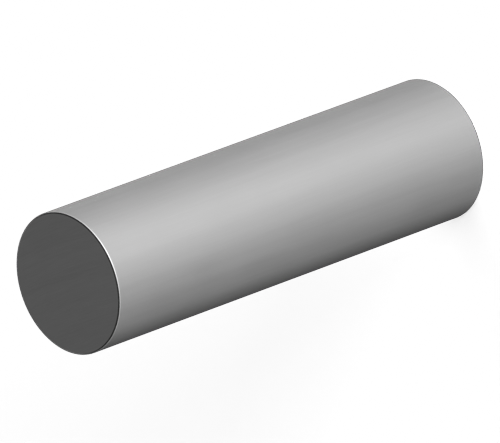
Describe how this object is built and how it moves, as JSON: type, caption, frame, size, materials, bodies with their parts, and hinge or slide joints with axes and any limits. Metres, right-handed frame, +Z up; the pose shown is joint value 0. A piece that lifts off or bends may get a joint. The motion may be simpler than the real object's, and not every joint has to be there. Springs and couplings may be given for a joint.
{
  "type": "round metal bar",
  "caption": "Short round steel bar, sawn square at both ends with the edges broken, standing on one end as cut stock for turning, clamping or welding.",
  "frame": {"origin": "centre of the lower sawn face, which stands on the floor", "axes": "+Z up along the bar, from the lower sawn face, the picture's far end, to the upper one, the picture's near end; +X and +Y across it"},
  "size_m": [0.05, 0.05, 0.175],
  "materials": {
    "bright_steel": "satin"
  },
  "bodies": {
    "root": {"round_bar": "bright_steel"}
  },
  "joints": []
}
